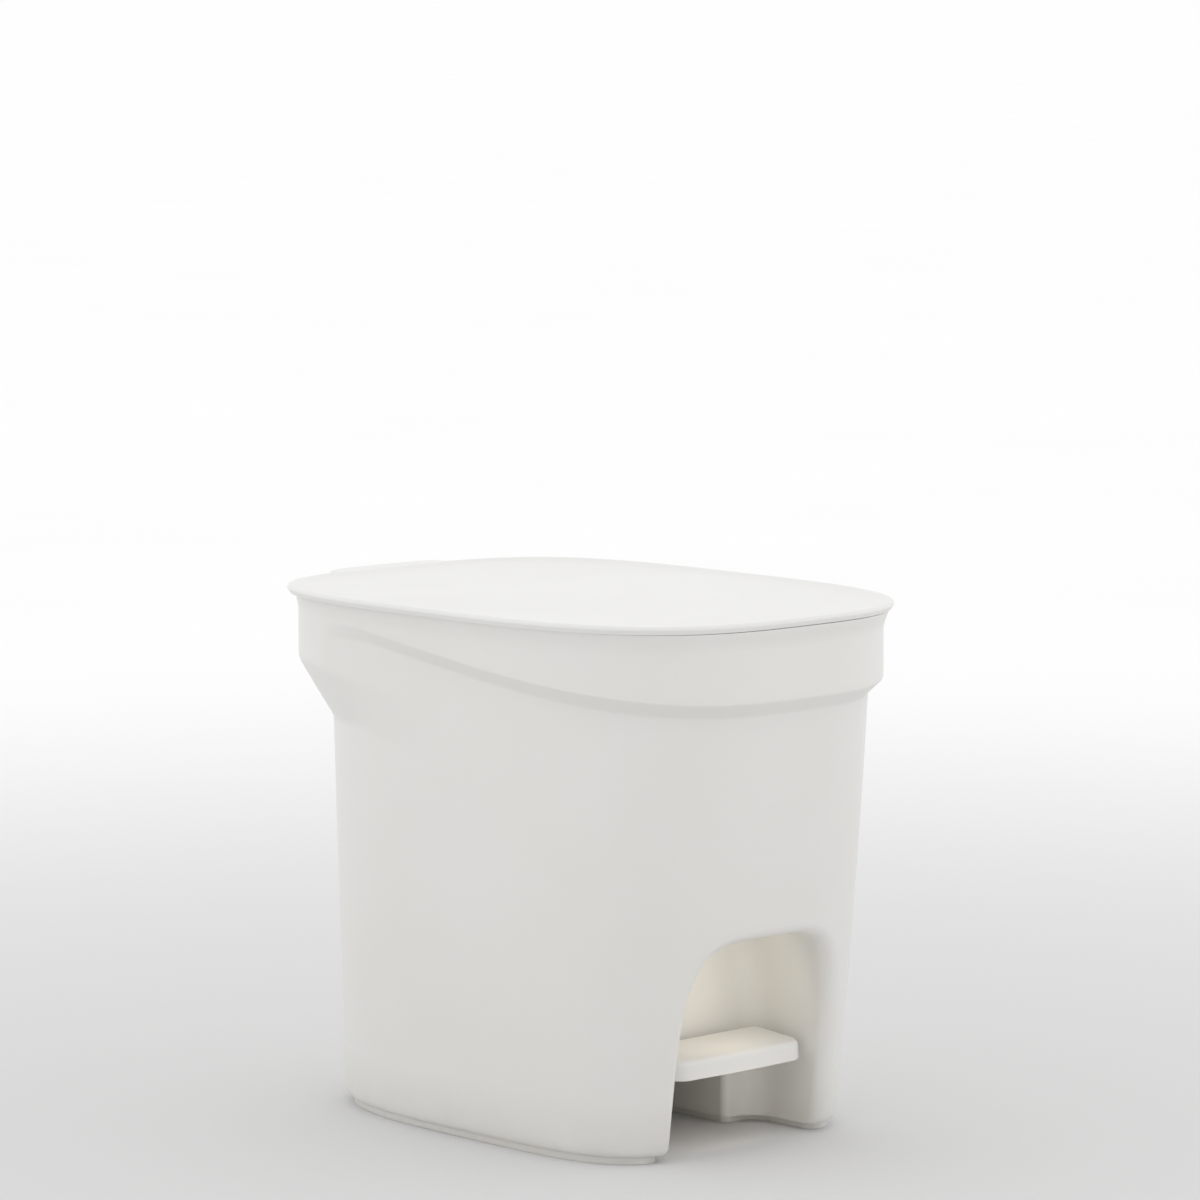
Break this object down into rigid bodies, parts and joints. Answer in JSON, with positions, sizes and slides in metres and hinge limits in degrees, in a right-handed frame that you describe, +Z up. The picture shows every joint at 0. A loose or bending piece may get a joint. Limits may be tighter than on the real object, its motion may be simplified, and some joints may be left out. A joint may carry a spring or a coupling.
{
  "type": "pedal bin",
  "caption": "White plastic pedal bin with a dished lid on a rear hinge, a toe niche with a tread, a lever and push rod, and a lift-out bucket with a bail.",
  "frame": {"origin": "on the floor, under the middle of the bounding box", "axes": "+Z up, -Y towards the pedal and the niche (the front), +X to the right seen from the front"},
  "size_m": [0.2114, 0.296, 0.25],
  "materials": {
    "casing": "satin white",
    "lid": "satin white",
    "pedal": "satin white",
    "bucket": "matt light grey",
    "grip": "matt white",
    "steel": "zinc plated wire",
    "spring_steel": "spring steel"
  },
  "bodies": {
    "shell": {"casing": "casing", "hinge_rod": "steel", "hinge_cap_left": "spring_steel", "hinge_cap_right": "spring_steel", "pedal_axle": "steel", "axle_clip_left": "spring_steel", "axle_clip_right": "spring_steel", "bucket": "bucket", "bail": "steel", "bail_grip": "grip"},
    "lid": {"lid": "lid"},
    "pedal": {"pedal": "pedal"},
    "rod": {"push_rod": "steel", "rod_clip_top": "spring_steel", "rod_clip_bottom": "spring_steel"}
  },
  "joints": [
    {"name": "lid_hinge", "type": "hinge", "parent": "shell", "child": "lid", "pos_m": [0, 0.14, 0.24], "axis": [-1, 0, 0], "range_deg": [0, 68]},
    {"name": "pedal_pivot", "type": "hinge", "parent": "shell", "child": "pedal", "pos_m": [0, -0.013, 0.027], "axis": [1, 0, 0], "range_deg": [0, 17.2]},
    {"name": "rod_lift", "type": "slide", "parent": "shell", "child": "rod", "axis": [0, 0, 1], "range_m": [0, 0.0378]}
  ],
  "couplings": [
    {"joint": "pedal_pivot", "follows": "lid_hinge", "ratio": 0.2529},
    {"joint": "rod_lift", "follows": "lid_hinge", "m_per_rad": 0.03184}
  ]
}
